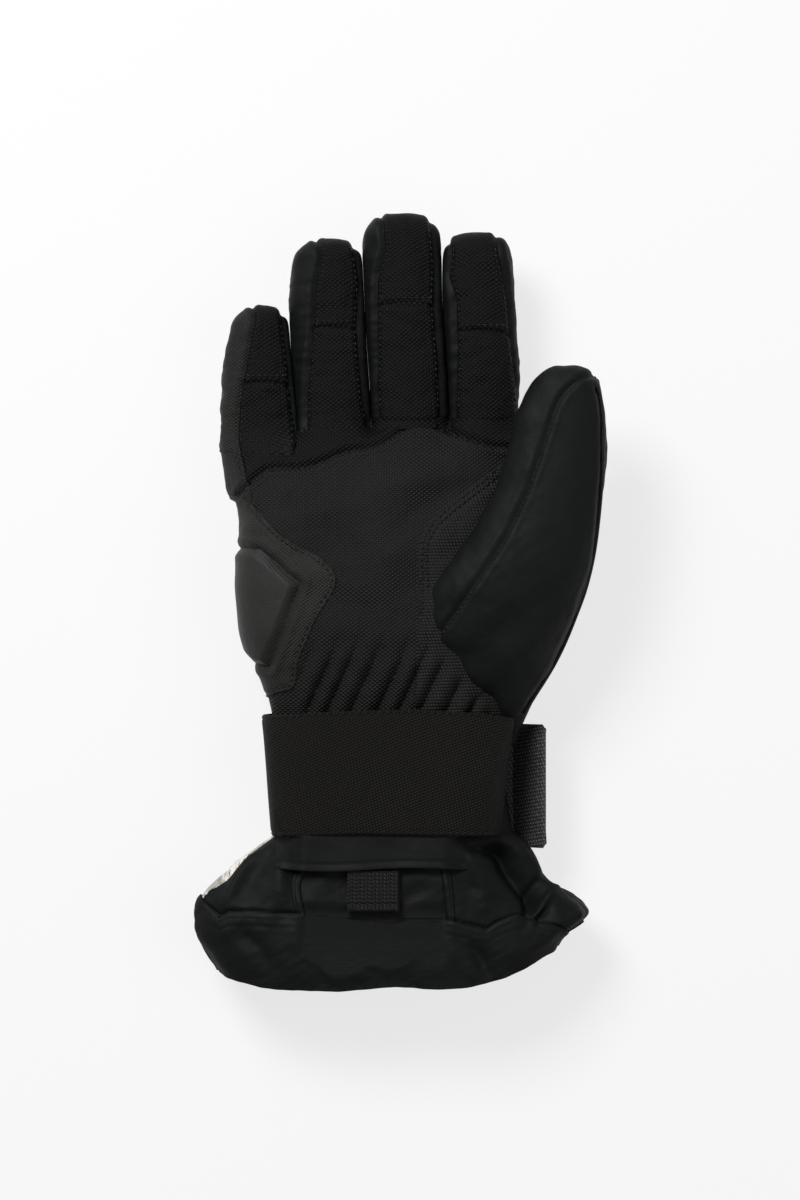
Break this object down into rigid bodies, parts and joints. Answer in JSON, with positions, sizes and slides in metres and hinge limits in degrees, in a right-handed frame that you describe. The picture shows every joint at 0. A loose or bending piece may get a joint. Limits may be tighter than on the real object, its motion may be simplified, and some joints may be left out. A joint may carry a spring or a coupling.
{
  "type": "ski glove",
  "caption": "Insulated ski glove for the right hand with padded palm, wrist strap with closure tab, splint pocket with pull loop and flared cuff.",
  "frame": {"origin": "centre of the glove's outline, on the surface that its back rests on", "axes": "+Y to the fingertips, +X to the thumb side, +Z out of the palm"},
  "size_m": [0.1627, 0.31, 0.0624],
  "materials": {
    "grip_fabric": "woven, matt",
    "side_fabric": "woven, matt",
    "patch_fabric": "grained, satin",
    "pad_fabric": "grained, satin",
    "softshell": "smooth knit, matt",
    "elastic": "woven elastic",
    "webbing": "ribbed webbing",
    "printed_fabric": "mottled print, matt",
    "insulation": "fleece",
    "lining": "brushed knit",
    "hook_and_loop": "pile",
    "splint_plastic": "moulded",
    "piping": "cord"
  },
  "bodies": {
    "hand": {"back_panel": "printed_fabric", "outer_side_panel": "side_fabric", "thumb_base_panel": "softshell", "upper_palm_panel": "grip_fabric", "thumb_crotch_panel": "grip_fabric", "palm_panel": "grip_fabric", "heel_patch": "patch_fabric", "heel_pad": "pad_fabric", "gather_elastic": "elastic", "hand_insulation": "insulation", "hand_lining": "lining", "cuff_front": "softshell", "cuff_back": "printed_fabric", "cuff_lining": "lining", "cuff_hem": "softshell", "pocket_backing": "softshell", "splint_pocket": "softshell", "pocket_welts": "softshell", "wrist_strap": "elastic", "loop_patch": "hook_and_loop"},
    "thumb": {"thumb_panel": "softshell", "thumb_back": "printed_fabric", "thumb_strip": "softshell", "thumb_side_panel": "side_fabric", "thumb_piping": "piping", "thumb_insulation": "insulation", "thumb_lining": "lining"},
    "tab": {"closure_tab": "webbing", "hook_patch": "hook_and_loop"},
    "splint": {"splint": "splint_plastic"},
    "pull_loop": {"pull_loop": "webbing"},
    "little": {"little_outer_panel": "side_fabric", "little_fourchette": "softshell", "little_front": "grip_fabric", "little_back": "printed_fabric", "little_tip_cap": "grip_fabric", "little_insulation": "insulation", "little_lining": "lining"},
    "ring": {"ring_fourchettes": "softshell", "ring_front": "grip_fabric", "ring_back": "printed_fabric", "ring_tip_cap": "grip_fabric", "ring_insulation": "insulation", "ring_lining": "lining"},
    "middle": {"middle_fourchettes": "softshell", "middle_front": "grip_fabric", "middle_back": "printed_fabric", "middle_tip_cap": "grip_fabric", "middle_insulation": "insulation", "middle_lining": "lining"},
    "index": {"index_fourchettes": "softshell", "index_front": "grip_fabric", "index_back": "printed_fabric", "index_tip_cap": "grip_fabric", "index_insulation": "insulation", "index_lining": "lining"}
  },
  "joints": [
    {"name": "little_flex", "type": "hinge", "parent": "hand", "child": "little", "pos_m": [-0.05747, 0.06067, 0.03213], "axis": [0.9997, 0.0262, 0], "range_deg": [0, 65], "stiffness_Nm_per_rad": 0.25},
    {"name": "ring_flex", "type": "hinge", "parent": "hand", "child": "ring", "pos_m": [-0.02692, 0.07057, 0.03313], "axis": [0.9984, 0.0558, 0], "range_deg": [0, 65], "stiffness_Nm_per_rad": 0.25},
    {"name": "middle_flex", "type": "hinge", "parent": "hand", "child": "middle", "pos_m": [0.00225, 0.07452, 0.03362], "axis": [0.9995, 0.0314, 0], "range_deg": [0, 65], "stiffness_Nm_per_rad": 0.25},
    {"name": "index_flex", "type": "hinge", "parent": "hand", "child": "index", "pos_m": [0.03427, 0.07452, 0.03362], "axis": [0.9987, 0.0506, 0], "range_deg": [0, 65], "stiffness_Nm_per_rad": 0.25},
    {"name": "thumb_swing", "type": "hinge", "parent": "hand", "child": "thumb", "pos_m": [0.05, -0.022, 0.04], "axis": [0, 0, -1], "range_deg": [0, 24], "stiffness_Nm_per_rad": 0.25},
    {"name": "tab_peel", "type": "hinge", "parent": "hand", "child": "tab", "pos_m": [0.0472, -0.074, 0.01], "axis": [0, -1, 0], "range_deg": [-30, 30], "stiffness_Nm_per_rad": 0.02},
    {"name": "splint_slide", "type": "slide", "parent": "hand", "child": "splint", "axis": [0, -0.9976, 0.0698], "range_m": [0, 0.052]},
    {"name": "loop_lift", "type": "hinge", "parent": "splint", "child": "pull_loop", "pos_m": [-0.0106, -0.10683, 0.04458], "axis": [-1, 0, 0], "range_deg": [0, 80]}
  ]
}
